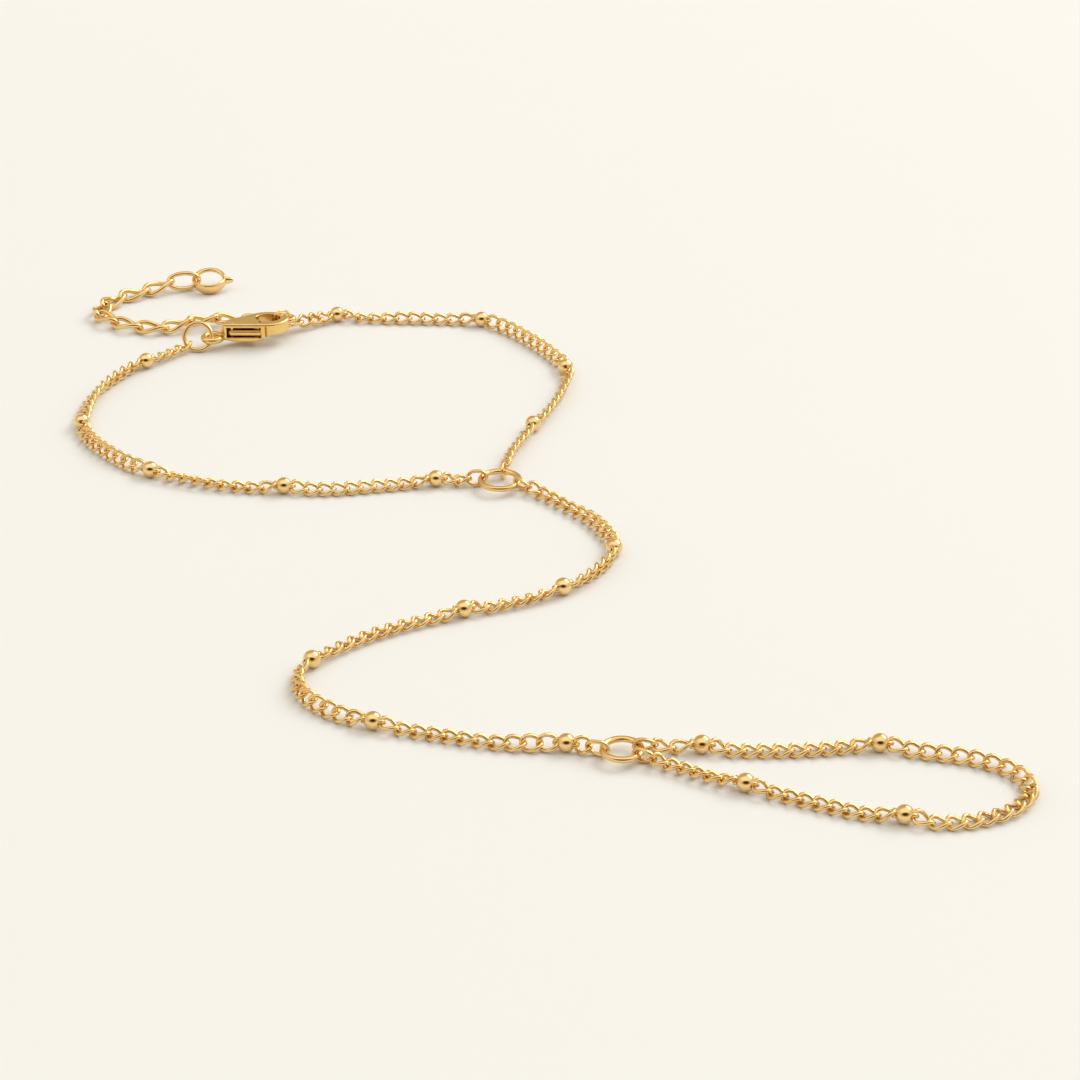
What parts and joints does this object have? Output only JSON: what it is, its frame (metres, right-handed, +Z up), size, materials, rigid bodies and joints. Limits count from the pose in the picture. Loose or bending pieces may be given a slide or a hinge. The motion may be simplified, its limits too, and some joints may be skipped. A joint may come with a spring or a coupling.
{
  "type": "bracelet",
  "caption": "Hand chain: a wrist bracelet of fine twisted links and round beads with a lobster clasp and an extension chain, joined over the hand to a loop for one finger.",
  "frame": {"origin": "centre of the bounding box's base, on the surface that the bracelet lies on", "axes": "+Z up from the surface, +Y from the finger loop towards the clasp, +X to the right as seen from the finger loop"},
  "size_m": [0.106, 0.1318, 0.0039],
  "materials": {
    "polished_gold": "polished, gold plated",
    "satin_gold": "satin, gold plated"
  },
  "bodies": {
    "bracelet": {"clasp_body": "satin_gold", "clasp_pin": "satin_gold", "hook_link": "polished_gold", "end_ring": "polished_gold", "ring_a": "polished_gold", "ring_b": "polished_gold", "ring_c": "polished_gold", "extension_link_01": "polished_gold", "extension_link_02": "polished_gold", "extension_link_03": "polished_gold", "extension_link_04": "polished_gold", "extension_link_05": "polished_gold", "extension_link_06": "polished_gold", "extension_link_07": "polished_gold", "extension_link_08": "polished_gold", "extension_link_09": "polished_gold", "extension_link_10": "polished_gold", "extension_link_11": "polished_gold", "extension_link_12": "polished_gold", "extension_link_13": "polished_gold", "wrist_left_chain": "polished_gold", "wrist_left_start_link": "polished_gold", "wrist_left_end_link": "polished_gold", "wrist_left_bead_1": "polished_gold", "wrist_left_bead_2": "polished_gold", "wrist_left_bead_3": "polished_gold", "wrist_left_bead_4": "polished_gold", "wrist_left_bead_5": "polished_gold", "wrist_right_chain": "polished_gold", "wrist_right_start_link": "polished_gold", "wrist_right_end_link": "polished_gold", "wrist_right_bead_1": "polished_gold", "wrist_right_bead_2": "polished_gold", "wrist_right_bead_3": "polished_gold", "wrist_right_bead_4": "polished_gold", "hand_chain": "polished_gold", "hand_start_link": "polished_gold", "hand_end_link": "polished_gold", "hand_bead_1": "polished_gold", "hand_bead_2": "polished_gold", "hand_bead_3": "polished_gold", "hand_bead_4": "polished_gold", "hand_bead_5": "polished_gold", "hand_bead_6": "polished_gold", "finger_chain": "polished_gold", "finger_bead_1": "polished_gold", "finger_bead_2": "polished_gold", "finger_bead_3": "polished_gold", "finger_bead_4": "polished_gold"},
    "lever": {"clasp_lever": "satin_gold"}
  },
  "joints": [
    {"name": "lever_hinge", "type": "hinge", "parent": "bracelet", "child": "lever", "pos_m": [-0.03408, 0.04562, 0.00207], "axis": [0, 0, 1], "range_deg": [0, 20], "stiffness_Nm_per_rad": 0.002, "springref_deg": -8.59}
  ]
}
